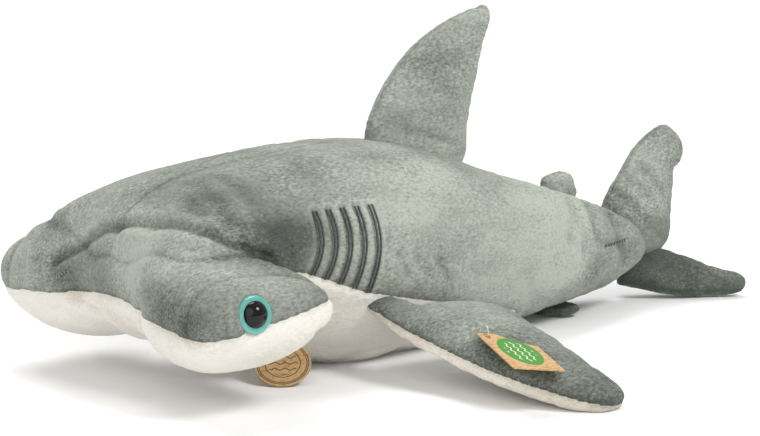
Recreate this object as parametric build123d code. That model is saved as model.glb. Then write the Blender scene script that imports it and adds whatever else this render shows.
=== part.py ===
"""Plush hammerhead shark: sewn panels over stuffing, safety eyes, sewn fins and two hang tags.

Millimetres. +Y runs from the nose to the tail, +X is the shark's left side, +Z is up. The origin is
on the ground, under the middle of the bounding box. "Station" is the distance behind the nose.
"""
from build123d import *
import math
import os

# Overall
LENGTH = 611.0
FABRIC = 1.8            # thickness of the plush fabric with its pile
FILL_GAP = 0.6          # between a panel and the stuffing behind it
SEAM_GAP = 0.2          # between two panels that are sewn edge to edge
CLEARANCE = 0.4         # round any piece that passes through another
GROUND_GAP = 0.3        # under the fins, which hang lightly on the ground
FAR = 700.0             # larger than the toy, for cutting blocks

# Torso rings: station, half width, bottom, top. The belly is cut flat at the ground.
TORSO_POWER = 2.2
TORSO_RINGS = [
    (16, 58, 64, 100), (32, 84, 56, 124), (54, 87, 50, 137), (90, 84, 37, 146),
    (140, 82, 17, 152), (190, 84, -2, 156), (240, 84, -3, 155), (300, 76, -3, 140),
    (350, 67, 1, 124), (400, 57, 7, 109), (450, 46, 14, 93), (490, 34, 21, 78),
    (515, 24, 27, 66), (533, 10, 35, 50),
]
# Upper edge of the white belly: station, height on the side.
BELLY_SEAM = [(-20, 92), (60, 88), (119, 81), (175, 60), (240, 45), (300, 33), (345, 20), (372, -12)]

# Hammer rings: distance from the middle, front station, rear station, bottom, top.
HEAD_POWER = 2.5
HEAD_RINGS = [
    (0, 10, 98, 34, 108), (50, 5, 100, 29, 110), (80, 2.1, 100, 26, 101), (100, 1.0, 100, 29, 97),
    (118, 0.8, 102, 37, 94), (131, 9, 102, 49, 87), (138, 26, 94, 57, 78),
]
HEAD_SEAM_Z = 65.0      # height of the grey to white seam at the nose
HEAD_SEAM_RISE = 0.20   # how much it rises per millimetre of station
HEAD_SEAM_DROOP = 0.08  # how much it falls per millimetre away from the middle
DART_X = 111.0          # seam between the top panel and the eye's panel, at the nose
DART_SPLAY = 0.16       # how far it runs outwards per millimetre of station

# Safety eye
EYE_CENTRE = (131.0, 38.5, 71.0)
EYE_NORMAL = (0.98, -0.10, 0.17)
RING_RADIUS = 12.5
PUPIL_RADIUS = 8.8
PUPIL_HEIGHT = 5.4
SHANK_RADIUS = 2.6
SHANK_LENGTH = 17.0
WASHER_RADIUS = 10.0
WASHER_THICKNESS = 1.6

# Gill slits: five pinched folds, each between two lines of thread
GILL_COUNT = 5
GILL_PITCH = 12.2
GILL_FIRST_STATION = 134.0
GILL_TOP_Z = 121.0
GILL_BOTTOM_Z = 79.0
GILL_BOTTOM_DROP = 4.6  # each slit reaches this much lower than the one before
GILL_LEAN = 9.0         # the lower end lies this much nearer the nose
GILL_BOW = 4.0
GILL_PAIR = 3.0
THREAD = 1.0

# Hand-closed seam on the left flank
CLOSING_STATION = 446.0
CLOSING_STITCHES = 8
CLOSING_PITCH = 4.5
CLOSING_Z = 59.0

# Fins: rows of height above the root, leading edge, trailing edge, thickness
FIN_POWER = 2.2
DORSAL_ROOT = (0, 232, 157)
DORSAL_CHORD = (0, 0.959, -0.282)
DORSAL_SPAN = (0, 0.282, 0.959)
DORSAL_ROWS = [
    (9, 5, 108, 20), (24, 9, 104, 26), (40, 14, 101, 28), (70, 28, 100, 22),
    (100, 55, 101, 15), (118, 80, 103, 11), (127, 90, 100, 5.6),
]
SECOND_ROOT = (0, 415, 106)
SECOND_CHORD = (0, 0.93, -0.37)
SECOND_SPAN = (0, 0.37, 0.93)
SECOND_ROWS = [(3.5, 3, 49, 11), (9, 8, 44, 13), (16, 20, 36, 10), (19.5, 23, 34, 5.6)]
PECTORAL_ROOT = (78, 168, 50.5)
PECTORAL_CHORD = (0.035, 0.98, -0.09)
PECTORAL_SPAN = (0.976, 0, -0.219)
PECTORAL_ROWS = [
    (21, 6, 115, 20), (40, 5, 110, 30), (77, 9, 106, 32), (110, 15, 100, 30),
    (150, 32, 93, 24), (175, 50, 86, 16), (185, 60, 76, 6),
]
VENTRAL_ROOT = (4, 405, 3.6)
VENTRAL_CHORD = (0, 0.995, 0.1)
VENTRAL_SPAN = (0.988, 0.15, 0.02)
VENTRAL_ROWS = [(0, 0, 38, 5.6), (9, 2, 38, 6.4), (20, 8, 34, 7), (30, 16, 28, 5.6)]
UPPER_LOBE_ROOT = (0, 489, 79)
UPPER_LOBE_CHORD = (0, 0.783, -0.622)
UPPER_LOBE_SPAN = (0, 0.622, 0.783)
UPPER_LOBE_ROWS = [
    (12, 0, 84, 18), (22, 0, 84, 22), (42, 1, 73, 22), (70, 4, 58, 18),
    (86, 10, 55, 14), (98, 18, 46, 8), (101, 24, 38, 5.6),
]
LOWER_LOBE_ROOT = (0, 536, 26)
LOWER_LOBE_CHORD = (-0.574, 0.575, 0.584)
LOWER_LOBE_SPAN = (0.613, 0.774, -0.161)
LOWER_LOBE_ROWS = [
    (18, -24, 20, 26), (32, -23, 17, 27), (50, -20, 12, 25), (75, -15, 8, 18), (90, -9, 6, 9), (94.5, -5, 3, 5.6),
]

# Round hang tag, leaning on the chest with its lower rim on the ground
TAG_CENTRE = (54.2, 119.9, 13.4)
TAG_RADIUS = 19.7
TAG_THICKNESS = 0.9
TAG_FACING = 50.0       # compass direction that the card faces, from the nose towards the left
TAG_RECLINE = 51.0      # how far the card leans back
TAG_HOLE_OFFSET = 15.5
TAG_HOLE_RADIUS = 2.0

# Card hang tag, lying on the left pectoral fin
CARD_SIZE = (60.0, 38.0, 0.8)
CARD_CHORD = 32.0       # place of its middle on the fin
CARD_SPAN = 126.0
CARD_HEIGHT = 16.5
CARD_TURN = -18.0
CARD_HOLE_INSET = 6.0
CARD_LOOP_RADIUS = 6.0

LOOP_RADIUS = 5.0       # nylon fastener of the round tag
LOOP_WIRE = 0.5


def at(x, station, z):
    """Point given by its station instead of Y."""
    return Vector(x, station - LENGTH / 2, z)


def outline(centre, across, up, half_across, half_up, power):
    """Closed smooth outline: power 2 is an ellipse, more is boxier."""
    points = []
    steps = 16
    for i in range(steps):
        angle = 2 * math.pi * i / steps
        c = math.cos(angle)
        s = math.sin(angle)
        u = half_across * math.copysign(abs(c) ** (2 / power), c)
        v = half_up * math.copysign(abs(s) ** (2 / power), s)
        points.append(centre + across * u + up * v)
    return Wire([Edge.make_spline(points, periodic=True)])


def block(low, high):
    """Axis-aligned box between two corners."""
    size = high - low
    return Pos((low + high) * 0.5) * Box(size.X, size.Y, size.Z)


def above_ground(inset):
    """Everything higher than inset above the ground."""
    return block(Vector(-FAR, -FAR, inset), Vector(FAR, FAR, FAR))


def side_prism(points, x_low, x_high):
    """Prism across the toy, from an outline of (station, height) points."""
    corners = [at(x_low, station, z) for station, z in points]
    face = Face(Wire.make_polygon(corners, close=True))
    return Solid.extrude(face, Vector(x_high - x_low, 0, 0))


def torso(inset):
    """Body of the shark without its head and fins, moved inwards by inset."""
    rings = []
    last = len(TORSO_RINGS) - 1
    for i, (station, half_width, bottom, top) in enumerate(TORSO_RINGS):
        if i == 0:
            station += inset
        if i == last:
            station -= inset
        centre = at(0, station, (bottom + top) / 2)
        half_height = (top - bottom) / 2 - inset
        rings.append(outline(centre, Vector(1, 0, 0), Vector(0, 0, 1), half_width - inset, half_height, TORSO_POWER))
    return Solid.make_loft(rings) & above_ground(inset)


def hammer(inset):
    """Hammer of the head, from wing tip to wing tip, moved inwards by inset."""
    half = [(-x, *rest) for x, *rest in HEAD_RINGS[:0:-1]]
    rings = []
    for x, front, rear, bottom, top in half + HEAD_RINGS:
        tip = abs(x) == HEAD_RINGS[-1][0]
        x_in = x - math.copysign(inset, x) if tip else x
        centre = at(x_in, (front + rear) / 2, (bottom + top) / 2)
        half_depth = (rear - front) / 2 - inset
        half_height = (top - bottom) / 2 - inset
        rings.append(outline(centre, Vector(0, 1, 0), Vector(0, 0, 1), half_depth, half_height, HEAD_POWER))
    return Solid.make_loft(rings)


def eye_plane():
    """Plane of the left eye's back, facing outwards."""
    return Plane(origin=at(*EYE_CENTRE), z_dir=Vector(*EYE_NORMAL))


def eye_socket(grow):
    """Round hollow that the left eye sits in."""
    depth = 25.0
    return eye_plane() * Pos(0, 0, depth / 2 - grow) * Cylinder(RING_RADIUS + CLEARANCE + grow, depth)


def both_sides(left):
    """A left piece together with its mirror image."""
    return left + mirror(left, about=Plane.YZ)


def head_form(inset):
    """Hammer with its two eye sockets."""
    return hammer(inset) - both_sides(eye_socket(inset))


def belly_block():
    """Everything below the belly seam."""
    points = [(BELLY_SEAM[0][0], -60)] + BELLY_SEAM + [(BELLY_SEAM[-1][0], -60)]
    return side_prism(points, -FAR, FAR)


def head_seam_block():
    """Everything below the seam round the hammer."""
    front = -40
    rear = 160
    reach = 160
    sections = []
    for x in (-reach, 0, reach):
        nose_z = HEAD_SEAM_Z - HEAD_SEAM_DROOP * abs(x)
        upper = [at(x, front, nose_z + HEAD_SEAM_RISE * front), at(x, rear, nose_z + HEAD_SEAM_RISE * rear)]
        sections.append(Wire.make_polygon(upper + [at(x, rear, -FAR), at(x, front, -FAR)], close=True))
    return Solid.make_loft(sections, ruled=True)


def side_block(x_from):
    """Everything to the left of x_from."""
    return block(Vector(x_from, -FAR, -FAR), Vector(FAR, FAR, FAR))


def dart_block(shift):
    """Everything to the left of the left dart, moved outwards by shift."""
    front = -60
    rear = 160
    corners = [Vector(DART_X + DART_SPLAY * station + shift, station - LENGTH / 2, -FAR) for station in (front, rear)]
    corners += [Vector(FAR, rear - LENGTH / 2, -FAR), Vector(FAR, front - LENGTH / 2, -FAR)]
    face = Face(Wire.make_polygon(corners, close=True))
    return Solid.extrude(face, Vector(0, 0, 2 * FAR))


def body_panels(fastener_hole):
    """Grey back in two halves and the white belly."""
    shell = torso(0) - torso(FABRIC) - head_form(-CLEARANCE)
    seam = belly_block()
    gap = Pos(0, 0, SEAM_GAP)
    belly = (shell & seam) - fastener_hole
    back = shell - gap * seam
    left = back & side_block(SEAM_GAP / 2)
    return {"belly_panel": belly, "back_panel_left": left, "back_panel_right": mirror(left, about=Plane.YZ)}


def head_panels():
    """Grey top, white underside and the two grey panels that carry the eyes."""
    shell = head_form(0) - head_form(FABRIC) - torso(-CLEARANCE)
    shell -= both_sides(eye_plane() * Cylinder(SHANK_RADIUS + CLEARANCE, 12))
    seam = head_seam_block()
    underside = shell & seam
    top = shell - Pos(0, 0, SEAM_GAP) * seam
    eye_panel = top & dart_block(SEAM_GAP / 2)
    return {
        "head_underside_panel": underside,
        "head_top_panel": top - both_sides(dart_block(-SEAM_GAP / 2)),
        "eye_panel_left": eye_panel,
        "eye_panel_right": mirror(eye_panel, about=Plane.YZ),
    }


def eye_ring():
    """Coloured ring of the eye, with a rounded rim."""
    height = 3.0
    ring = Cylinder(RING_RADIUS, height) - Cylinder(PUPIL_RADIUS - 1.6, height + 1)
    rim = ring.edges().filter_by(GeomType.CIRCLE).group_by(Axis.Z)[-1].sort_by(SortBy.RADIUS)[-1]
    ring = fillet(rim, 1.6)
    return eye_plane() * Pos(0, 0, height / 2 + 0.1) * ring


def eye_pupil():
    """Black dome with its ridged post."""
    ring_top = 3.2
    sphere_radius = (PUPIL_RADIUS ** 2 + PUPIL_HEIGHT ** 2) / (2 * PUPIL_HEIGHT)
    dome = Pos(0, 0, PUPIL_HEIGHT - sphere_radius) * Sphere(sphere_radius)
    dome &= Pos(0, 0, PUPIL_HEIGHT / 2) * Cylinder(PUPIL_RADIUS + 1, PUPIL_HEIGHT)
    pupil = Pos(0, 0, ring_top) * dome
    post_top = ring_top + 1
    pupil += Pos(0, 0, post_top / 2 - SHANK_LENGTH / 2) * Cylinder(SHANK_RADIUS - 0.5, post_top + SHANK_LENGTH)
    for depth in (9.0, 11.5, 14.0, 16.5):
        pupil += Pos(0, 0, -depth) * Cylinder(SHANK_RADIUS - 0.1, 1.0)
    return eye_plane() * pupil


def eye_washer():
    """Lock washer on the post, inside the head."""
    depth = FABRIC + 0.3 + WASHER_THICKNESS / 2
    washer = Cylinder(WASHER_RADIUS, WASHER_THICKNESS) - Cylinder(SHANK_RADIUS + 0.1, WASHER_THICKNESS + 1)
    return eye_plane() * Pos(0, 0, -depth) * washer


def eye_room():
    """Space that the washer and the post take from the stuffing."""
    washer_depth = FABRIC + 0.3 + WASHER_THICKNESS / 2
    room = Pos(0, 0, -washer_depth) * Cylinder(WASHER_RADIUS + CLEARANCE, WASHER_THICKNESS + 2 * CLEARANCE)
    post = SHANK_LENGTH + 1
    room += Pos(0, 0, -post / 2) * Cylinder(SHANK_RADIUS + CLEARANCE, post)
    return eye_plane() * room


def bowed_strip(station, bottom, top, width, lean, bow):
    """Strip along a leaning line that bows towards the tail, as seen from the side."""
    steps = 6
    front = []
    rear = []
    for i in range(steps + 1):
        share = i / steps
        z = bottom + share * (top - bottom)
        middle = station - lean * (1 - share) + bow * 4 * share * (1 - share)
        front.append((middle - width / 2, z))
        rear.insert(0, (middle + width / 2, z))
    return side_prism(front + rear, 0, FAR)


def thread_layer():
    """Thin layer just over the torso, which lines of thread are cut from."""
    lift = 0.3
    return torso(-lift - THREAD) - torso(-lift)


def gill_stitches():
    """Ten bowed lines of thread on the left side."""
    lines = []
    for i in range(GILL_COUNT):
        station = GILL_FIRST_STATION + i * GILL_PITCH
        bottom = GILL_BOTTOM_Z - i * GILL_BOTTOM_DROP
        for offset in (-GILL_PAIR / 2, GILL_PAIR / 2):
            lines.append(bowed_strip(station + offset, bottom, GILL_TOP_Z, THREAD, GILL_LEAN, GILL_BOW))
    layer = thread_layer()
    return Compound([solid for line in lines for solid in (layer & line).solids()])


def closing_stitches():
    """Short slanted stitches of the seam that was closed by hand."""
    layer = thread_layer() & side_block(0)
    stitches = []
    for i in range(CLOSING_STITCHES):
        station = CLOSING_STATION + i * CLOSING_PITCH
        slant = side_prism([(station, CLOSING_Z - 1), (station + 1, CLOSING_Z - 1),
                            (station + 3, CLOSING_Z + 1), (station + 2, CLOSING_Z + 1)], 0, FAR)
        stitches += (layer & slant).solids()
    return Compound(stitches)


def fin_form(root, chord, span, rows, inset):
    """Tapered fin standing on its root line, moved inwards by inset."""
    chord = Vector(*chord).normalized()
    span = Vector(*span).normalized()
    thick = chord.cross(span).normalized()
    rings = []
    last = len(rows) - 1
    for i, (height, lead, trail, thickness) in enumerate(rows):
        if i == 0:
            height += inset
        if i == last:
            height -= inset
        centre = at(*root) + chord * ((lead + trail) / 2) + span * height
        half_chord = (trail - lead) / 2 - inset
        rings.append(outline(centre, chord, thick, half_chord, thickness / 2 - inset, FIN_POWER))
    return Solid.make_loft(rings) & above_ground(GROUND_GAP + inset)


def fin_pieces(root, chord, span, rows, names, taken=None):
    """Two sewn panels and the stuffing; names are those of the three nodes."""
    shell = fin_form(root, chord, span, rows, 0) - fin_form(root, chord, span, rows, FABRIC)
    filling = fin_form(root, chord, span, rows, FABRIC + FILL_GAP)
    if taken is not None:
        shell -= taken
        filling -= taken
    thick = Vector(*chord).cross(Vector(*span))
    plane = Plane(origin=at(*root), x_dir=Vector(*chord), z_dir=thick)
    reach = 400.0
    first = shell & (plane * Pos(0, 0, reach / 2 + SEAM_GAP / 2) * Box(reach, reach, reach))
    second = shell & (plane * Pos(0, 0, -reach / 2 - SEAM_GAP / 2) * Box(reach, reach, reach))
    return {names[0]: first, names[1]: second, names[2]: filling}


def tail_pieces():
    """Upper and lower lobes, which meet at the fork."""
    lower = (LOWER_LOBE_ROOT, LOWER_LOBE_CHORD, LOWER_LOBE_SPAN, LOWER_LOBE_ROWS)
    upper = (UPPER_LOBE_ROOT, UPPER_LOBE_CHORD, UPPER_LOBE_SPAN, UPPER_LOBE_ROWS)
    lower_names = ("tail_lower_underside", "tail_lower_topside", "tail_lower_stuffing")
    upper_names = ("tail_upper_left", "tail_upper_right", "tail_upper_stuffing")
    pieces = fin_pieces(*lower, lower_names)
    pieces.update(fin_pieces(*upper, upper_names, taken=fin_form(*lower, -CLEARANCE)))
    return pieces


def pectoral_pieces():
    """Left and right pectoral fins: grey above, white below."""
    names = ("pectoral_left_lower_panel", "pectoral_left_upper_panel", "pectoral_left_stuffing")
    form = (PECTORAL_ROOT, PECTORAL_CHORD, PECTORAL_SPAN, PECTORAL_ROWS)
    pieces = fin_pieces(*form, names, taken=card_loop(CLEARANCE))
    plain = fin_pieces(*form, names)
    for name in names:
        pieces[name.replace("left", "right")] = mirror(plain[name], about=Plane.YZ)
    return pieces


def tag_frame():
    """Plane of the round tag: X is level, Y runs up the card, Z faces out."""
    facing = math.radians(TAG_FACING)
    recline = math.radians(TAG_RECLINE)
    level = Vector(math.cos(facing), math.sin(facing), 0)
    normal = Vector(math.sin(facing) * math.cos(recline), -math.cos(facing) * math.cos(recline), math.sin(recline))
    return Plane(origin=at(*TAG_CENTRE), x_dir=level, z_dir=normal)


def round_tag():
    """Card disc with a hole for its fastener."""
    disc = Cylinder(TAG_RADIUS, TAG_THICKNESS) - Pos(0, TAG_HOLE_OFFSET, 0) * Cylinder(TAG_HOLE_RADIUS, 3)
    return tag_frame() * disc


def tag_loop(grow):
    """Nylon loop through the round tag's hole and the chest."""
    standing = Pos(0, TAG_HOLE_OFFSET + LOOP_RADIUS, 0) * Rot(0, 90, 0)
    return tag_frame() * standing * Torus(LOOP_RADIUS, LOOP_WIRE + grow)


def card_frame():
    """Plane of the card tag, on the upper face of the left pectoral fin."""
    chord = Vector(*PECTORAL_CHORD).normalized()
    span = Vector(*PECTORAL_SPAN).normalized()
    up = span.cross(chord).normalized()
    middle = at(*PECTORAL_ROOT) + chord * CARD_CHORD + span * CARD_SPAN + up * CARD_HEIGHT
    return Plane(origin=middle, x_dir=span, z_dir=up) * Rot(0, 0, CARD_TURN)


def card_hole():
    """Place of the card's hole, in the card's own frame."""
    return Pos(-CARD_SIZE[0] / 2 + CARD_HOLE_INSET, -CARD_SIZE[1] / 2 + CARD_HOLE_INSET, 0)


def card_tag():
    """Printed card with rounded corners and a hole."""
    card = fillet(Box(*CARD_SIZE).edges().filter_by(Axis.Z), 1.5)
    return card_frame() * (card - card_hole() * Cylinder(TAG_HOLE_RADIUS, 3))


def card_loop(grow):
    """Nylon loop through the card's hole and the fin, past the card's short edge."""
    standing = Pos(-CARD_LOOP_RADIUS, 0, 0) * Rot(90, 0, 0)
    return card_frame() * card_hole() * standing * Torus(CARD_LOOP_RADIUS, LOOP_WIRE + grow)


def build():
    """Every node of the toy by name."""
    loop_hole = tag_loop(CLEARANCE)
    nodes = body_panels(loop_hole)
    nodes.update(head_panels())
    filling = torso(FABRIC + FILL_GAP) + head_form(FABRIC + FILL_GAP)
    nodes["body_stuffing"] = filling - both_sides(eye_room()) - loop_hole
    nodes["round_tag"] = round_tag()
    nodes["round_tag_loop"] = tag_loop(0)
    nodes["closing_seam_stitches"] = closing_stitches()
    for name, piece in (("eye_ring", eye_ring()), ("eye_pupil", eye_pupil()),
                        ("eye_washer", eye_washer()), ("gill_stitches", gill_stitches())):
        nodes[name + "_left"] = piece
        nodes[name + "_right"] = mirror(piece, about=Plane.YZ)
    dorsal_names = ("dorsal_fin_left_panel", "dorsal_fin_right_panel", "dorsal_fin_stuffing")
    nodes.update(fin_pieces(DORSAL_ROOT, DORSAL_CHORD, DORSAL_SPAN, DORSAL_ROWS, dorsal_names))
    second_names = ("second_dorsal_left_panel", "second_dorsal_right_panel", "second_dorsal_stuffing")
    nodes.update(fin_pieces(SECOND_ROOT, SECOND_CHORD, SECOND_SPAN, SECOND_ROWS, second_names))
    ventral_names = ("ventral_fin_lower_panel", "ventral_fin_upper_panel", "ventral_fin_stuffing")
    nodes.update(fin_pieces(VENTRAL_ROOT, VENTRAL_CHORD, VENTRAL_SPAN, VENTRAL_ROWS, ventral_names))
    nodes.update(pectoral_pieces())
    nodes.update(tail_pieces())
    nodes["card_tag"] = card_tag()
    nodes["card_tag_loop"] = card_loop(0)
    return nodes


def main():
    """Write one STEP file per node."""
    os.makedirs("parts", exist_ok=True)
    for name, piece in build().items():
        export_step(piece, f"parts/{name}.step")


main()
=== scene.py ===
"""Looks of the plush hammerhead shark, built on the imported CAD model.

Metres, in the CAD frame: +Y runs from nose to tail, +X is the shark's left, +Z is up.
Each sewn form starts as a copy of its filling's CAD solid. It is remeshed, filled out by a cloth
simulation, folded and rumpled, and then cut into its panels along the seams of the CAD panels.
"""
import math
import bmesh
import bpy
import numpy as np
from mathutils import Matrix, Vector, noise
from mathutils.bvhtree import BVHTree


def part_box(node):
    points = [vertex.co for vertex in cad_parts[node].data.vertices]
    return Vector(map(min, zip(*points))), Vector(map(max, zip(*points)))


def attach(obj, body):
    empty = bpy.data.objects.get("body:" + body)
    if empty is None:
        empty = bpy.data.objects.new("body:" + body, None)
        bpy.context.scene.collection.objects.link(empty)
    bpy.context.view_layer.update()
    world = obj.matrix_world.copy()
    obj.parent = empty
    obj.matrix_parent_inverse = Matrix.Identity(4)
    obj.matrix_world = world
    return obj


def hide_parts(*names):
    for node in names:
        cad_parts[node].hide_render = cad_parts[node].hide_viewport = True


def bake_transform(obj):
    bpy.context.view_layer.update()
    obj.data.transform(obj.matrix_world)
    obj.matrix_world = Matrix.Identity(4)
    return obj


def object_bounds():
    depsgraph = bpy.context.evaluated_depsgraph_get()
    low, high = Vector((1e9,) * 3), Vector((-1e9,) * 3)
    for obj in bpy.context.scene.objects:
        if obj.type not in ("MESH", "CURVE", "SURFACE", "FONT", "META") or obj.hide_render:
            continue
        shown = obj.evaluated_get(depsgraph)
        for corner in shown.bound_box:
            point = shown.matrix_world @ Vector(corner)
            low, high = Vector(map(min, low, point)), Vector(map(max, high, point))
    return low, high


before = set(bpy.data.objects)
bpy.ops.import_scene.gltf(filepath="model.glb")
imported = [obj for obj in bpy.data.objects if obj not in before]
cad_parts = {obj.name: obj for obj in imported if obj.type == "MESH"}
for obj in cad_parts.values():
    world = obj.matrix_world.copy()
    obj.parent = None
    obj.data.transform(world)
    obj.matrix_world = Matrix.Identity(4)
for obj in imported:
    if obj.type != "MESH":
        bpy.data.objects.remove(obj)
cad_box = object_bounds()

MM = 0.001
NOSE_Y = cad_box[0][1]
FABRIC = 2.4 * MM           # from the outside of the filling to the outside of the pile

# Sewn forms
BODY_VOXEL = 3.4 * MM
BODY_RUMPLE = 0.7 * MM
FIN_RUMPLE = 0.6 * MM
SEAM_DEPTH = 1.4 * MM       # how far the fabric is pulled in along a seam
SEAM_WIDTH = 2.4 * MM
SEAM_TUCK = 2.0 * MM        # width of the edge that is turned in
SEAM_SHADE = 0.35
SEAM_SHADE_WIDTH = 2.2 * MM

# Folds: a groove of depth 1 between two shoulders
FOLD_STEPS = 4              # places between two stops of a fold that are laid on the surface
FOLD_SHOULDER = 0.25        # height of the shoulders
FOLD_SHOULDER_AT = 2.0      # their distance from the groove, in widths of the groove
FOLD_SHADE_DEPTH = 2.5      # depth in millimetres from which a fold is shaded fully

# Cloth simulation that fills out the forms
CLOTH_FRAMES = 20
CLOTH_QUALITY = 5
CLOTH_PRESSURE = 4.0
CLOTH_SLACK = 0.02          # extra length of fabric, as a share
CLOTH_REACH = 3.0 * MM      # the furthest it moves
CLOTH_SINK = 1.2 * MM       # the furthest it sinks
SEAM_HOLD = 7.0 * MM        # fabric closer than this to a seam is held back

# Camera: directions in degrees, distances in metres
CAMERA_AZIMUTH = 50.0
CAMERA_ELEVATION = 9.0
CAMERA_DISTANCE = 1.534
CAMERA_TARGET = Vector((-0.006, NOSE_Y + 0.258, 0.094))
CAMERA_LENS = 96.8
CAMERA_SENSOR = 36.0

# Studio: strengths, directions in degrees, distances in metres
FLOOR_HALF = 60.0
STUDIO_LIGHT = 0.46
STUDIO_SEEN = 1.0
KEY_SUN = {"azimuth": 255.0, "elevation": 62.0, "strength": 1.8, "softness": 36.0}
FILL_SUN = {"azimuth": 30.0, "elevation": 30.0, "strength": 1.0, "softness": 60.0}
SOFTBOX = {"azimuth": 102.0, "elevation": 45.0, "distance": 1.6, "size": 0.45, "power": 12.5}

# Colours of the materials, as linear light
GREY_LIGHT = (0.41, 0.43, 0.375)
GREY_MIDDLE = (0.235, 0.25, 0.218)
GREY_DARK = (0.088, 0.099, 0.086)
WHITE_LIGHT = (0.76, 0.735, 0.68)
WHITE_DARK = (0.58, 0.53, 0.44)
EYE_TEAL = (0.13, 0.42, 0.36)
EYE_BLACK = (0.006, 0.006, 0.007)
WASHER_WHITE = (0.8, 0.8, 0.78)
NYLON = (0.85, 0.87, 0.86)
THREAD_DARK = (0.02, 0.024, 0.022)
THREAD_LIGHT = (0.10, 0.11, 0.10)
KRAFT_DARK = (0.30, 0.18, 0.07)
KRAFT_MIDDLE = (0.50, 0.32, 0.14)
KRAFT_LIGHT = (0.60, 0.40, 0.20)
CARD_INK = (0.09, 0.05, 0.025)
BADGE_GREEN = (0.06, 0.24, 0.03)
BADGE_PALE = (0.72, 0.76, 0.62)
FLOOR_LOW = (0.94, 0.94, 0.94)
FLOOR_HIGH = (0.96, 0.96, 0.96)

# Printed figures of the tags
ROUND_TAG_RINGS = (18.0 * MM, 16.8 * MM, 12.2 * MM)
ROUND_TAG_MARGIN = 1.5 * MM     # between the inner ring and the wave lines
BADGE_HALF_SIZE = (23.0 * MM, 14.0 * MM)
BADGE_WAVES = 0.72              # how far across the badge its wave lines reach, as a share
RING_LINE = 0.35 * MM           # half the width of a ring's line
WAVE_LINE = 0.55 * MM           # half the width of a wave line
WAVE_GAP = 2.6 * MM             # half the distance between wave lines
WAVE_HEIGHT = 0.8 * MM
WAVE_RATE = 900.0               # radians for each metre


def at(x, station, z):
    """Point in metres from millimetres across, behind the nose and up."""
    return Vector((x * MM, NOSE_Y + station * MM, z * MM))


# ---------------------------------------------------------------- meshes

def new_object(name, data):
    piece = bpy.data.objects.new(name, data)
    bpy.context.scene.collection.objects.link(piece)
    return piece


def cad_copy(name, node):
    """A closed mesh that copies this CAD node."""
    bm = bmesh.new()
    bm.from_mesh(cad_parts[node].data)
    bmesh.ops.remove_doubles(bm, verts=bm.verts, dist=0.02 * MM)
    mesh = bpy.data.meshes.new(name)
    bm.to_mesh(mesh)
    bm.free()
    return new_object(name, mesh)


def apply_modifiers(piece):
    graph = bpy.context.evaluated_depsgraph_get()
    mesh = bpy.data.meshes.new_from_object(piece.evaluated_get(graph))
    piece.modifiers.clear()
    old = piece.data
    piece.data = mesh
    bpy.data.meshes.remove(old)


def remesh(piece, voxel):
    modifier = piece.modifiers.new("Remesh", "REMESH")
    modifier.mode = "VOXEL"
    modifier.voxel_size = voxel
    apply_modifiers(piece)


def subdivide(piece):
    modifier = piece.modifiers.new("Subdivision", "SUBSURF")
    modifier.levels = 1
    apply_modifiers(piece)


def points(piece):
    co = np.empty(len(piece.data.vertices) * 3)
    piece.data.vertices.foreach_get("co", co)
    return co.reshape(-1, 3)


def normals(piece):
    values = np.empty(len(piece.data.vertices) * 3)
    piece.data.vertex_normals.foreach_get("vector", values)
    return values.reshape(-1, 3)


def set_points(piece, co):
    piece.data.vertices.foreach_set("co", np.ascontiguousarray(co, float).ravel())
    piece.data.update()


def neighbours(piece):
    """The two ends of every edge, and how many neighbours each point has."""
    ends = np.empty(len(piece.data.edges) * 2, int)
    piece.data.edges.foreach_get("vertices", ends)
    count = np.maximum(np.bincount(ends, minlength=len(piece.data.vertices)), 1)
    return ends.reshape(-1, 2), count[:, None]


def neighbour_mean(values, ends, count):
    total = np.zeros_like(values)
    np.add.at(total, ends[:, 0], values[ends[:, 1]])
    np.add.at(total, ends[:, 1], values[ends[:, 0]])
    return total / count


def evened(form, values, passes=3):
    """The values of each point averaged with its neighbours."""
    ends, count = neighbours(form)
    for _ in range(passes):
        values = 0.5 * values + 0.5 * neighbour_mean(values, ends, count)
    return values


def smooth(piece, passes):
    """Evens out the mesh. Each inward step is followed by an outward one, so it keeps its size."""
    co = points(piece)
    ends, count = neighbours(piece)
    for _ in range(passes):
        co += 0.5 * (neighbour_mean(co, ends, count) - co)
        co -= 0.52 * (neighbour_mean(co, ends, count) - co)
    set_points(piece, co)


def relax(piece, place, radius, passes):
    """Irons out hollows about one place."""
    co = points(piece)
    ends, count = neighbours(piece)
    share = np.exp(-(np.linalg.norm(co - np.array(place), axis=1) / radius) ** 4)[:, None]
    for _ in range(passes):
        co += 0.6 * share * (neighbour_mean(co, ends, count) - co)
    set_points(piece, co)


def swell(piece, distance):
    set_points(piece, points(piece) + normals(piece) * distance)


def noise_field(co, size, seed):
    """Smooth noise from -1 to 1 at each point; size is the width of its patches in metres."""
    shift = Vector((seed * 7.31, seed * 3.17, seed * 5.71))
    return np.array([noise.noise(Vector(p) / size + shift) for p in co])


def bell(distance, width):
    """1 at distance 0, falling off smoothly over the width."""
    return np.exp(-(distance / width) ** 2)


def raise_points(form, height):
    """Moves each point out along its normal by its height in metres."""
    set_points(form, points(form) + normals(form) * height[:, None])


# ---------------------------------------------------------------- folds and shading

def path_distance(co, path):
    """Distance of each point from a path, in metres and at most 1."""
    best = np.full(len(co), 1.0)
    for start, end in zip(path[:-1], path[1:]):
        run = end - start
        share = np.clip((co - start) @ run / (run @ run), 0, 1)
        best = np.minimum(best, np.linalg.norm(co - start - share[:, None] * run, axis=1))
    return best


def mesh_tree(mesh):
    corners = [v.co.copy() for v in mesh.vertices]
    return BVHTree.FromPolygons(corners, [tuple(p.vertices) for p in mesh.polygons])


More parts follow.
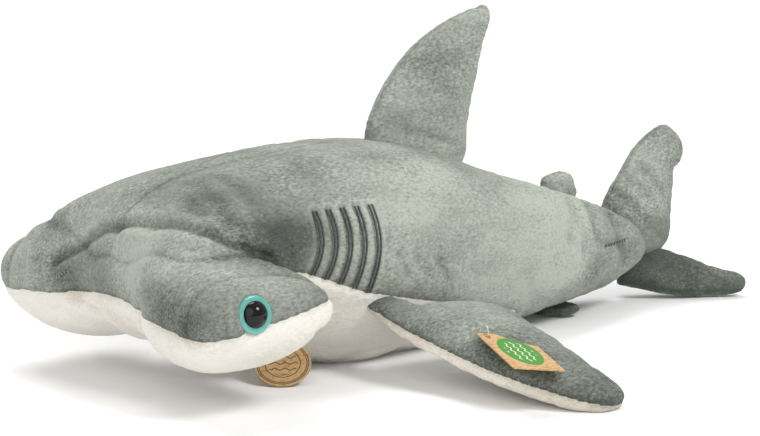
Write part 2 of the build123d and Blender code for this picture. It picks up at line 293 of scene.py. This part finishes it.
def on_surface(form, stops):
    """Path through these stops (x, station, z), laid down on the form."""
    tree = mesh_tree(form.data)
    places = [at(*stop) for stop in stops]
    path = []
    for start, end in zip(places[:-1], places[1:]):
        for step in range(FOLD_STEPS):
            path.append(np.array(tree.find_nearest(start.lerp(end, step / FOLD_STEPS))[0]))
    path.append(np.array(tree.find_nearest(places[-1])[0]))
    return path


def shade_of(form):
    """How much darker the pile is painted at each point: nap tone in patches, and painted shade and light
    from folds, seams, dents and gill stitches.
    """
    values = np.zeros(len(form.data.vertices))
    layer = form.data.attributes.get("nap")
    if layer:
        layer.data.foreach_get("value", values)
    return values


def set_shade(form, values):
    layer = form.data.attributes.get("nap") or form.data.attributes.new("nap", "FLOAT", "POINT")
    layer.data.foreach_set("value", values)


def fold(form, width, depth, stops):
    """Creases the fabric along a path: a groove between two soft shoulders, with shade painted into the
    groove and light painted on the shoulders.
    """
    away = path_distance(points(form), on_surface(form, stops)) / (width * MM)
    groove = bell(away, 1.0)
    shoulder = np.exp(-(away - FOLD_SHOULDER_AT) ** 2 / 1.2)
    raise_points(form, (FOLD_SHOULDER * shoulder - groove) * depth * MM)
    # Painted shade in the groove and painted light on the shoulders.
    set_shade(form, shade_of(form) + (0.4 * groove - 0.12 * shoulder) * min(1.0, depth / FOLD_SHADE_DEPTH))


def bulge(form, stop, radius, push):
    """Pushes the fabric softly by push millimetres about one place."""
    co = points(form)
    near = bell(np.linalg.norm(co - np.array(at(*stop)), axis=1), radius * MM)
    set_points(form, co + near[:, None] * np.array(push) * MM)


def paint_nap_and_light(form, tone, patches):
    """Pile painted darker or lighter in patches (x, station, z, radius, amount), over an even tone: in some
    patches nap laid the other way, in others painted light and shade.
    """
    co = points(form)
    values = shade_of(form) + tone
    # Each patch paints the pile darker or lighter: nap laid the other way in places, painted light and
    # shade in others.
    for x, station, z, radius, amount in patches:
        away = np.linalg.norm(co - np.array(at(x, station, z)), axis=1)
        values += amount * bell(away, radius * MM)
    set_shade(form, values)


def rumple(form, seam, height):
    """Slack in the fabric: broad dents, puckers close to the seams, and the unevenness of the pile, with
    shade painted into the dents and light painted on the bumps.
    """
    co = points(form)
    broad = noise_field(co, 34 * MM, 1) * 0.5
    pucker = noise_field(co, 7 * MM, 2) * bell(seam, 9 * MM)
    pile = noise_field(co, 2.6 * MM, 3) * 0.35
    raise_points(form, (broad + pucker + pile) * height)
    # Painted shade in the dents and painted light on the bumps.
    set_shade(form, shade_of(form) - 0.15 * (broad + pucker))


# ---------------------------------------------------------------- sewing

def node_distances(form, nodes):
    """Distance of each point of the form from each of these CAD nodes, one column for a node."""
    trees = [mesh_tree(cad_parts[node].data) for node in nodes]
    return np.array([[tree.find_nearest(Vector(p))[3] for tree in trees] for p in points(form)])


def seam_distance(form, panels):
    """How far each point of the form is from the nearest seam between these panels."""
    away = node_distances(form, panels)
    two = np.partition(away, 1, axis=1)[:, :2]
    return two.max(axis=1) - two.min(axis=1)


def seam_crossings(bm, away, label):
    """Edges between two panels, each with its first corner and the share of its length up to the seam."""
    crossing = []
    for edge in bm.edges:
        a, b = edge.verts[0].index, edge.verts[1].index
        if label[a] != label[b]:
            da = away[a, label[b]] - away[a, label[a]]
            db = away[b, label[a]] - away[b, label[b]]
            crossing.append((edge, edge.verts[0], min(max(da / (da + db + 1e-12), 0.02), 0.98)))
    return crossing


def face_panels(bm, label, border):
    """The panel of each face, from its corners off the seams. A face with none goes with a neighbour."""
    total = len(label)
    faces = []
    for face in bm.faces:
        votes = [label[v.index] for v in face.verts if v.index < total and v not in border]
        faces.append(max(set(votes), key=votes.count) if votes else -1)
    for face in bm.faces:
        if faces[face.index] < 0:
            near = [faces[f.index] for e in face.edges for f in e.link_faces if faces[f.index] >= 0]
            faces[face.index] = near[0] if near else 0
    return np.array(faces)


def cut_along_seams(piece, away):
    """Splits the faces that a seam crosses. Returns the panel of each face."""
    bm = bmesh.new()
    bm.from_mesh(piece.data)
    bm.verts.ensure_lookup_table()
    label = list(np.argmin(away, axis=1))
    border = set()
    for edge, start, share in seam_crossings(bm, away, label):
        _, vert = bmesh.utils.edge_split(edge, start, share)
        border.add(vert)
    bm.verts.index_update()
    bmesh.ops.connect_verts(bm, verts=list(border))
    bm.faces.ensure_lookup_table()
    faces = face_panels(bm, label, border)
    bm.to_mesh(piece.data)
    bm.free()
    return faces


def press_seams(piece, seam):
    """Pulls the fabric in along its seams, a little unevenly from stitch to stitch."""
    co = points(piece)
    near = seam < 3 * SEAM_WIDTH
    pull = np.zeros(len(co))
    uneven = 0.85 + 0.3 * noise_field(co[near], 9 * MM, 4)
    pull[near] = SEAM_DEPTH * bell(seam[near], SEAM_WIDTH) * uneven
    pressed = co - normals(piece) * evened(piece, pull[:, None], 2)
    share = bell(seam, 2 * SEAM_WIDTH)[:, None]
    set_points(piece, pressed + share * (evened(piece, pressed, 4) - pressed))


def panel_piece(piece, faces, wanted, name):
    """The faces of one panel as their own mesh, with its edges turned in along the seams."""
    bm = bmesh.new()
    bm.from_mesh(piece.data)
    bm.faces.ensure_lookup_table()
    unwanted = [f for f in bm.faces if faces[f.index] != wanted]
    bmesh.ops.delete(bm, geom=unwanted, context="FACES")
    rim = [e for e in bm.edges if e.is_boundary]
    outward = {v: v.normal.copy() for e in rim for v in e.verts}
    for edge in rim:
        edge.smooth = False
    made = bmesh.ops.extrude_edge_only(bm, edges=rim)["geom"]
    for vert in [v for v in made if isinstance(v, bmesh.types.BMVert)]:
        sources = [e.other_vert(vert) for e in vert.link_edges if e.other_vert(vert) in outward]
        if sources:
            vert.co -= outward[sources[0]] * SEAM_TUCK
    mesh = bpy.data.meshes.new(name)
    bm.to_mesh(mesh)
    bm.free()
    for polygon in mesh.polygons:
        polygon.use_smooth = True
    return new_object(name, mesh)


def sew(piece, panels, stuffing):
    """Cuts a filled form into its CAD panels, which also stand for its stuffing. Returns their objects."""
    faces = cut_along_seams(piece, evened(piece, node_distances(piece, panels)))
    seam = seam_distance(piece, panels)
    set_shade(piece, shade_of(piece) + SEAM_SHADE * bell(seam, SEAM_SHADE_WIDTH))
    press_seams(piece, seam)
    pieces = []
    for index, panel in enumerate(panels):
        made = panel_piece(piece, faces, index, "plush_" + panel)
        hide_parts(panel)
        pieces.append(made)
    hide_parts(stuffing)
    bpy.data.objects.remove(piece)
    return pieces


def run_cloth(piece, held):
    """Lets pressure fill the form against the pull of its fabric, which the vertex group holds back."""
    cloth = piece.modifiers.new("Cloth", "CLOTH")
    cloth.settings.quality = CLOTH_QUALITY
    cloth.settings.use_pressure = True
    cloth.settings.uniform_pressure_force = CLOTH_PRESSURE
    cloth.settings.vertex_group_mass = held.name
    cloth.settings.shrink_min = -CLOTH_SLACK
    cloth.settings.effector_weights.gravity = 0.0
    for number in range(1, CLOTH_FRAMES + 1):
        bpy.context.scene.frame_set(number)
    apply_modifiers(piece)
    bpy.context.scene.frame_set(1)


def puff(piece, panels):
    """Fills the form out with a cloth simulation that its seams hold back."""
    before = points(piece).copy()
    outward = normals(piece)
    held = piece.vertex_groups.new(name="seams")
    for index, distance in enumerate(seam_distance(piece, panels)):
        held.add([index], float(max(0.0, 1.0 - distance / SEAM_HOLD)), "REPLACE")
    run_cloth(piece, held)
    moved = points(piece) - before
    length = np.linalg.norm(moved, axis=1, keepdims=True)
    moved *= np.minimum(1.0, CLOTH_REACH / np.maximum(length, 1e-9))
    inward = np.minimum(0.0, (moved * outward).sum(axis=1) + CLOTH_SINK)
    set_points(piece, before + moved - outward * inward[:, None])


# ---------------------------------------------------------------- materials

class Shader:
    """Small helper that builds a node material step by step."""

    def __init__(self, name):
        self.material = bpy.data.materials.new(name)
        self.material.use_nodes = True
        self.tree = self.material.node_tree
        self.surface = self.tree.nodes["Principled BSDF"]
        self.place = self.node("ShaderNodeTexCoord").outputs["Object"]

    def node(self, kind, **settings):
        made = self.tree.nodes.new(kind)
        for key, value in settings.items():
            setattr(made, key, value)
        return made

    def link(self, output, target):
        self.tree.links.new(output, target)

    def set(self, **sockets):
        for key, value in sockets.items():
            self.surface.inputs[key.replace("_", " ")].default_value = value

    def mapping(self, stretch):
        made = self.node("ShaderNodeMapping")
        made.inputs["Scale"].default_value = stretch
        self.link(self.place, made.inputs["Vector"])
        return made.outputs["Vector"]

    def noise(self, scale, detail, stretch=(1, 1, 1), rough=0.55):
        made = self.node("ShaderNodeTexNoise")
        made.inputs["Scale"].default_value = scale
        made.inputs["Detail"].default_value = detail
        made.inputs["Roughness"].default_value = rough
        self.link(self.mapping(stretch), made.inputs["Vector"])
        return made.outputs["Fac"]

    def cells(self, scale, stretch):
        made = self.node("ShaderNodeTexVoronoi")
        made.inputs["Scale"].default_value = scale
        self.link(self.mapping(stretch), made.inputs["Vector"])
        return made.outputs["Distance"]

    def ramp(self, value, stops):
        made = self.node("ShaderNodeValToRGB")
        band = made.color_ramp
        while len(band.elements) < len(stops):
            band.elements.new(0.5)
        for element, (position, color) in zip(band.elements, stops):
            element.position = position
            element.color = (*color, 1)
        self.link(value, made.inputs["Fac"])
        return made.outputs["Color"]

    def between(self, value, low, high):
        """0 at low, 1 at high."""
        made = self.node("ShaderNodeMapRange")
        made.inputs["From Min"].default_value = low
        made.inputs["From Max"].default_value = high
        self.link(value, made.inputs["Value"])
        return made.outputs["Result"]

    def math(self, operation, *values):
        made = self.node("ShaderNodeMath", operation=operation)
        for index, value in enumerate(values):
            if isinstance(value, (int, float)):
                made.inputs[index].default_value = value
            else:
                self.link(value, made.inputs[index])
        return made.outputs["Value"]

    def add(self, a, b):
        return self.math("ADD", a, b)

    def subtract(self, a, b):
        return self.math("SUBTRACT", a, b)

    def times(self, a, b):
        return self.math("MULTIPLY", a, b)

    def below(self, value, limit):
        return self.math("LESS_THAN", value, limit)

    def length(self, across, up):
        return self.math("SQRT", self.add(self.times(across, across), self.times(up, up)))

    def mix(self, share, a, b):
        """Colour a where the share is 0, and colour b where it is 1."""
        made = self.node("ShaderNodeMix", data_type="RGBA")
        self.link(share, made.inputs[0])
        self.link(a, made.inputs[6])
        made.inputs[7].default_value = (*b, 1)
        return made.outputs[2]

    def attribute(self, name):
        return self.node("ShaderNodeAttribute", attribute_name=name).outputs["Fac"]

    def bump(self, height, strength, distance, coarser=None):
        made = self.node("ShaderNodeBump")
        made.inputs["Strength"].default_value = strength
        made.inputs["Distance"].default_value = distance
        self.link(height, made.inputs["Height"])
        if coarser is not None:
            self.link(coarser, made.inputs["Normal"])
        return made.outputs["Normal"]

    def finish(self, color, normal=None):
        """Links the colour and the bump to the surface. Returns the material."""
        self.link(color, self.surface.inputs["Base Color"])
        if normal is not None:
            self.link(normal, self.surface.inputs["Normal"])
        return self.material


def plush(name, light, middle, dark, grain):
    """Short pile: broad nap patches, streaked pile and single fibres, with a velvet sheen, darkened by the
    nap attribute, which holds painted shade and light as well as nap tone.
    """
    shader = Shader(name)
    broad = shader.noise(11.0, 2.0, (1, 0.6, 1))
    nap = shader.noise(34.0, 3.0, (1, 0.5, 1.2))
    fibres = shader.noise(560.0, 4.0, (1, 0.5, 1), 0.7)
    tufts = shader.cells(480.0, (1, 0.7, 1))
    rough_patches = shader.between(shader.noise(17.0, 2.0), 0.32, 0.62)
    strength = shader.add(shader.times(rough_patches, 0.75 * grain), 0.45 * grain)
    streaks = shader.times(shader.subtract(fibres, 0.5), strength)
    mottled = shader.add(shader.times(broad, 0.55), shader.times(nap, 0.45))
    # The nap attribute holds nap tone and painted shade and light from folds, seams, dents, gill stitches
    # and patches.
    nap_and_painted_light = shader.times(shader.attribute("nap"), 0.34)
    shade = shader.add(shader.add(mottled, nap_and_painted_light), streaks)
    deep = tuple(c * 0.55 for c in dark)
    color = shader.ramp(shade, [(0.30, light), (0.55, middle), (0.80, dark), (1.0, deep)])
    pits = shader.between(tufts, 0.35, 0.95)
    color = shader.mix(shader.times(pits, 0.22), color, dark)
    shader.set(Roughness=0.92, Sheen_Weight=0.35, Sheen_Roughness=0.45)
    shader.set(Specular_IOR_Level=0.15, Sheen_Tint=(*light, 1))
    coarse = shader.bump(shader.noise(160.0, 2.0, (1, 0.5, 1)), 0.3, 0.8 * MM)
    pile = shader.subtract(fibres, shader.times(tufts, 0.6))
    return shader.finish(color, shader.bump(pile, 0.7, 0.8 * MM, coarse))


def give(piece, material):
    piece.data.materials.clear()
    piece.data.materials.append(material)


grey_plush = plush("grey_plush", GREY_LIGHT, GREY_MIDDLE, GREY_DARK, 1.0)
white_plush = plush("white_plush", WHITE_LIGHT, WHITE_LIGHT, WHITE_DARK, 0.6)


def is_white(node):
    under_fin = node.startswith("pectoral") and "lower" in node
    return under_fin or node in ("belly_panel", "head_underside_panel")


def finish_panels(pieces):
    """Gives sewn panels their fabric."""
    for piece in pieces:
        white = is_white(piece.name.removeprefix("plush_"))
        give(piece, white_plush if white else grey_plush)


# ---------------------------------------------------------------- body and head

BODY_PANELS = ["back_panel_left", "back_panel_right", "belly_panel", "head_top_panel",
               "head_underside_panel", "eye_panel_left", "eye_panel_right"]

# Folds of the body and head: width and depth in millimetres, and the path (x, station, z)
BODY_FOLDS = [
    (4.0, 4.0, [(-58, 7, 82), (-36, 15, 95), (-24, 24, 103), (-4, 26, 110), (12, 29, 113),
                (43, 34, 115), (65, 44, 110), (76, 60, 103), (80, 86, 94)]),
    (6.0, 1.5, [(40, 53, 128), (58, 50, 120), (68, 52, 111)]),
    (6.0, 1.6, [(26, 68, 135), (58, 64, 126), (71, 62, 114)]),
    (7.0, 1.5, [(31, 84, 139), (60, 88, 128)]),
    (5.0, 1.6, [(-72, 5, 81), (-69, 3, 65)]),
    (5.5, 1.4, [(27, 425, 95), (56, 399, 70)]),
    (5.5, 1.2, [(41, 422, 87), (54, 413, 60)]),
    (5.5, 1.6, [(25, 447, 89), (44, 437, 76), (48, 436, 65)]),
    (5.0, 1.5, [(25, 472, 78), (37, 469, 66), (39, 472, 56), (34, 485, 40)]),
    (4.0, 1.2, [(47, 443, 62), (37, 479, 56)]),
    (4.0, 1.8, [(84, 201, 84), (84, 208, 71)]),
    (4.0, 1.6, [(84, 215, 81), (84, 229, 67)]),
    (4.0, 1.4, [(84, 238, 75), (81, 251, 57)]),
    (5.0, 1.8, [(-99, 3, 50), (-54, 8, 49)]),
    (5.0, 1.8, [(-38, 7, 59), (-15, 16, 46)]),
    (5.0, 1.6, [(45, 5, 68), (44, 17, 40)]),
]

# The neck runs out on to the right wing of the head: place, radius and push in millimetres
BODY_BULGES = [
    ((-88, 16, 102), 20.0, (-9, -5, 9)),
    ((-68, 26, 114), 20.0, (-8, -4, 6)),
    ((-52, 50, 126), 24.0, (-3, -1, 1)),
]

# Where the neck meets the head, and is smoothed
NAPE_PLACES = [(35, 22, 104), (-35, 22, 104)]
NAPE_RADIUS = 46 * MM
NAPE_PASSES = 60

# Patches of pile painted dark (over 0) or light (under 0), partly nap laid the other way and partly painted
# light and shade: x, station, z, radius, amount
NAP_AND_PAINTED_LIGHT_PATCHES = [
    (66, 92, 98, 46, 1.1), (40, 150, 140, 20, 0.5),
    (76, 285, 85, 70, -0.45), (50, 430, 50, 18, 0.5), (-5, 3, 72, 34, 0.7), (24, 14, 98, 30, -1.1),
    (90, 25, 95, 26, -0.4), (106, 0, 70, 24, 0.8), (-50, 5, 75, 25, 0.45), (-100, 10, 80, 30, -0.3),
    (0, 300, 182, 22, 0.5), (0, 262, 215, 30, -0.2), (20, 500, 85, 25, 0.2), (0, 545, 95, 45, -0.35),
    (55, 400, 80, 55, -0.6), (75, 240, 60, 30, 0.2), (120, 215, 50, 50, -0.7),
]


def body_and_head():
    form = cad_copy("body_form", "body_stuffing")
    remesh(form, BODY_VOXEL)
    swell(form, FABRIC)
    smooth(form, 6)
    for place in NAPE_PLACES:
        relax(form, at(*place), NAPE_RADIUS, NAPE_PASSES)
    for stop, radius, push in BODY_BULGES:
        bulge(form, stop, radius, push)
    puff(form, BODY_PANELS)
    subdivide(form)
    for width, depth, stops in BODY_FOLDS:
        fold(form, width, depth, stops)
    stitch_gills(form)
    rumple(form, seam_distance(form, BODY_PANELS), BODY_RUMPLE)
    paint_nap_and_light(form, 0.0, NAP_AND_PAINTED_LIGHT_PATCHES)
    pieces = sew(form, BODY_PANELS, "body_stuffing")
    finish_panels(pieces)
    for piece in pieces:
        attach(piece, "body")


def stitch_gills(form):
    """Draws the fabric in under the gills' threads, which leaves a ridge between each pair. Shade is
    painted into the grooves and a highlight on the ridges.
    """
    away = node_distances(form, ["gill_stitches_left", "gill_stitches_right"]).min(axis=1)
    groove = bell(away, 1.4 * MM)
    ridge = bell(away - 3.4 * MM, 1.6 * MM)
    raise_points(form, (0.8 * ridge - 0.9 * groove) * MM)
    # Painted shade in the grooves under the threads, painted highlight on the ridges.
    set_shade(form, shade_of(form) + 0.1 * groove - 0.35 * ridge)


# ---------------------------------------------------------------- fins

ROOT_FACE = 1.2 * MM        # points this close to the lowest one are the root's flat face

# The notch behind the tip of the tail's upper lobe: place (x, station, z) and the way its edge faces
NOTCH_PLACE = (0, 573, 104)
NOTCH_FACING = (0, 0.783, -0.622)
NOTCH_DEPTH = 9 * MM
NOTCH_RADIUS = 6.5 * MM

# Paths (x, station, z) of the folds at the root of the upper lobe
TAIL_FOLDS = [
    [(12, 500, 92), (12, 520, 78)],
    [(11, 512, 104), (12, 535, 84)],
    [(10, 528, 112), (11, 548, 90)],
]


def unit(vector):
    values = np.array(vector, float)
    return values / np.linalg.norm(values)


def draw_in_root(form, span, reach):
    """Lengthens a filled fin at its root, so that it starts inside the body."""
    co = points(form)
    height = co @ span
    root = height < height.min() + ROOT_FACE
    co[root] -= span * reach
    set_points(form, co)


def fin(name, panels, span, voxel, reach, tone, shape=None):
    """One sewn fin, in millimetres."""
    span = unit(span)
    form = cad_copy(name + "_form", name + "_stuffing")
    low = (points(form) @ span).min()
    draw_in_root(form, span, reach * MM)
    remesh(form, voxel * MM)
    swell(form, FABRIC)
    smooth(form, 4)
    puff(form, panels)
    subdivide(form)
    if shape is not None:
        shape(form)
    rumple(form, seam_distance(form, panels), FIN_RUMPLE)
    paint_nap_and_light(form, tone, NAP_AND_PAINTED_LIGHT_PATCHES)
    pieces = sew(form, panels, name + "_stuffing")
    finish_panels(pieces)
    middle = points(pieces[0]).mean(axis=0)
    for piece in pieces:
        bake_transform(piece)


def notch_tail(form):
    """The small notch behind the tip of the upper lobe, and the folds at the tail's root."""
    co = points(form)
    away = np.linalg.norm((co - np.array(at(*NOTCH_PLACE)))[:, 1:], axis=1)
    depth = NOTCH_DEPTH * bell(away, NOTCH_RADIUS)
    set_points(form, co - unit(NOTCH_FACING) * depth[:, None])
    for stops in TAIL_FOLDS:
        fold(form, 4.0, 1.4, stops)


def all_fins():
    fin("dorsal_fin", ["dorsal_fin_left_panel", "dorsal_fin_right_panel"],
        span=(0, 0.282, 0.959), voxel=3.0, reach=26, tone=0.0)
    fin("second_dorsal", ["second_dorsal_left_panel", "second_dorsal_right_panel"],
        span=(0, 0.37, 0.93), voxel=1.6, reach=12, tone=0.2)
    for side, sign in (("left", 1), ("right", -1)):
        fin("pectoral_" + side,
            [f"pectoral_{side}_upper_panel", f"pectoral_{side}_lower_panel"],
            span=(0.976 * sign, 0, -0.219), voxel=3.0, reach=34, tone=0.5)
    fin("ventral_fin", ["ventral_fin_upper_panel", "ventral_fin_lower_panel"],
        span=(0.988, 0.15, 0.02), voxel=1.4, reach=6, tone=0.6)
    fin("tail_upper", ["tail_upper_left", "tail_upper_right"],
        span=(0, 0.622, 0.783), voxel=2.4, reach=24, tone=0.1, shape=notch_tail)
    fin("tail_lower", ["tail_lower_topside", "tail_lower_underside"],
        span=(0.613, 0.774, -0.161), voxel=2.2, reach=36, tone=0.9)


# ---------------------------------------------------------------- eyes, thread and tags

def gloss(name, color, **sockets):
    """Moulded plastic with a faint unevenness."""
    shader = Shader(name)
    tone = shader.ramp(shader.noise(260.0, 2.0), [(0.3, color), (0.8, tuple(c * 0.82 for c in color))])
    shader.set(Coat_Roughness=0.04, **sockets)
    return shader.finish(tone, shader.bump(shader.noise(420.0, 2.0), 0.08, 0.2 * MM))


def thread_material():
    """Twisted polyester thread."""
    shader = Shader("thread")
    twist = shader.noise(1500.0, 2.0, (1, 1, 0.45))
    tone = shader.ramp(twist, [(0.35, THREAD_DARK), (0.65, THREAD_LIGHT)])
    shader.set(Roughness=0.7)
    return shader.finish(tone, shader.bump(twist, 0.8, 0.5 * MM))


def flat_frame(node):
    """Middle and rotation of a flat node. X runs along its longest way, or level if it is round, and Z
    stands on its face."""
    low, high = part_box(node)
    middle = (np.array(low) + np.array(high)) / 2
    away = points(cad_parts[node]) - middle
    length = np.linalg.norm(away, axis=1)
    outer = away[length > 0.93 * length.max()]
    _, _, axes = np.linalg.svd(outer, full_matrices=False)
    normal = axes[2] * (1 if axes[2][2] > 0 else -1)
    long = axes[0] * (1 if axes[0][0] > 0 else -1)
    if node == "round_tag":
        long = unit(np.cross((0, 0, 1), normal))
    turned = Matrix((long, np.cross(normal, long), normal)).transposed()
    return Vector(middle), turned.to_euler()


def across_and_up(shader, node):
    """How far across and up the face of a flat node each point is, in metres from its middle."""
    middle, turned = flat_frame(node)
    local = shader.node("ShaderNodeMapping", vector_type="TEXTURE")
    local.inputs["Location"].default_value = middle
    local.inputs["Rotation"].default_value = turned
    shader.link(shader.place, local.inputs["Vector"])
    split = shader.node("ShaderNodeSeparateXYZ")
    shader.link(local.outputs["Vector"], split.inputs["Vector"])
    return split.outputs["X"], split.outputs["Y"]


def wave_lines(shader, across, up):
    """1 on printed lines that run across in waves, and 0 between them."""
    swing = shader.times(shader.math("SINE", shader.times(across, WAVE_RATE)), WAVE_HEIGHT)
    height = shader.subtract(up, swing)
    return shader.below(shader.math("PINGPONG", height, WAVE_GAP), WAVE_LINE)


def kraft(name, node, printed):
    """Brown card with flecks. printed puts its figures over the colour of the card."""
    shader = Shader(name)
    flecks = shader.noise(700.0, 3.0, (1, 0.3, 1))
    card = shader.ramp(flecks, [(0.30, KRAFT_DARK), (0.48, KRAFT_MIDDLE), (0.75, KRAFT_LIGHT)])
    shader.set(Roughness=0.75)
    color = printed(shader, card, *across_and_up(shader, node))
    return shader.finish(color, shader.bump(flecks, 0.25, 0.2 * MM))


def waves_and_rings(shader, color, across, up):
    """Wave lines inside rings, in brown ink."""
    radius = shader.length(across, up)
    inside = shader.below(radius, ROUND_TAG_RINGS[-1] - ROUND_TAG_MARGIN)
    waved = shader.times(wave_lines(shader, across, up), inside)
    color = shader.mix(shader.times(waved, 0.85), color, CARD_INK)
    for ring in ROUND_TAG_RINGS:
        gap = shader.math("ABSOLUTE", shader.subtract(radius, ring))
        color = shader.mix(shader.below(gap, RING_LINE), color, CARD_INK)
    return color


def waves_on_badge(shader, color, across, up):
    """Pale wave lines on a green oval."""
    wide = shader.math("DIVIDE", across, BADGE_HALF_SIZE[0])
    high = shader.math("DIVIDE", up, BADGE_HALF_SIZE[1])
    oval = shader.length(wide, high)
    color = shader.mix(shader.below(oval, 1.0), color, BADGE_GREEN)
    waved = shader.times(wave_lines(shader, across, up), shader.below(oval, BADGE_WAVES))
    return shader.mix(shader.times(waved, 0.8), color, BADGE_PALE)


def dress_cad_nodes():
    """Materials for the CAD nodes that stay as they are."""
    looks = {
        "eye_ring": gloss("eye_teal", EYE_TEAL, Roughness=0.28, Coat_Weight=0.5),
        "pupil": gloss("eye_black", EYE_BLACK, Roughness=0.04, Specular_IOR_Level=0.3),
        "washer": gloss("washer_plastic", WASHER_WHITE, Roughness=0.45),
        "stitches": thread_material(),
        "loop": gloss("clear_nylon", NYLON, Roughness=0.2, Transmission_Weight=0.6),
    }
    give(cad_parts["round_tag"], kraft("round_tag_card", "round_tag", waves_and_rings))
    give(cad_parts["card_tag"], kraft("card_tag_card", "card_tag", waves_on_badge))
    for node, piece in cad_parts.items():
        for word, material in looks.items():
            if word in node:
                give(piece, material)


# ---------------------------------------------------------------- stage

def direction(azimuth, elevation):
    """Direction from the shark, by compass from the nose towards its left, and upwards."""
    around = math.radians(azimuth)
    above = math.radians(elevation)
    level = math.cos(above)
    return Vector((math.sin(around) * level, -math.cos(around) * level, math.sin(above)))


def aim(made, away):
    """Turns a camera or light, which is this way from the shark, to look at it."""
    made.rotation_euler = (-away).to_track_quat("-Z", "Y").to_euler()


def camera():
    data = bpy.data.cameras.new("camera")
    data.lens = CAMERA_LENS
    data.sensor_width = CAMERA_SENSOR
    made = new_object("camera", data)
    away = direction(CAMERA_AZIMUTH, CAMERA_ELEVATION)
    made.location = CAMERA_TARGET + away * CAMERA_DISTANCE
    aim(made, away)
    bpy.context.scene.camera = made


def sun(name, azimuth, elevation, strength, softness):
    data = bpy.data.lights.new(name, "SUN")
    data.energy = strength
    data.angle = math.radians(softness)
    aim(new_object(name, data), direction(azimuth, elevation))


def softbox(name, azimuth, elevation, distance, size, power):
    data = bpy.data.lights.new(name, "AREA")
    data.energy = power
    data.size = size
    made = new_object(name, data)
    away = direction(azimuth, elevation)
    made.location = CAMERA_TARGET + away * distance
    aim(made, away)


def floor():
    """A wide white floor."""
    corners = [(x * FLOOR_HALF, y * FLOOR_HALF, 0) for x, y in ((-1, -1), (1, -1), (1, 1), (-1, 1))]
    mesh = bpy.data.meshes.new("floor")
    mesh.from_pydata(corners, [], [(0, 1, 2, 3)])
    made = new_object("floor", mesh)
    shader = Shader("floor_white")
    shader.set(Roughness=0.9)
    tone = shader.ramp(shader.noise(3.0, 3.0), [(0.0, FLOOR_LOW), (1.0, FLOOR_HIGH)])
    give(made, shader.finish(tone))


def studio():
    """White surroundings that light the shark softly, and look as white as the floor above its far edge."""
    world = bpy.data.worlds.new("studio")
    bpy.context.scene.world = world
    world.use_nodes = True
    tree = world.node_tree
    background = tree.nodes["Background"]
    background.inputs["Color"].default_value = (1.0, 1.0, 1.0, 1)
    seen = tree.nodes.new("ShaderNodeLightPath")
    strength = tree.nodes.new("ShaderNodeMapRange")
    strength.inputs["To Min"].default_value = STUDIO_LIGHT
    strength.inputs["To Max"].default_value = STUDIO_SEEN
    tree.links.new(seen.outputs["Is Camera Ray"], strength.inputs["Value"])
    tree.links.new(strength.outputs["Result"], background.inputs["Strength"])
    bpy.context.scene.view_settings.view_transform = "Standard"


body_and_head()
all_fins()
dress_cad_nodes()
camera()
floor()
studio()
sun("key", **KEY_SUN)
sun("fill", **FILL_SUN)
softbox("softbox", **SOFTBOX)
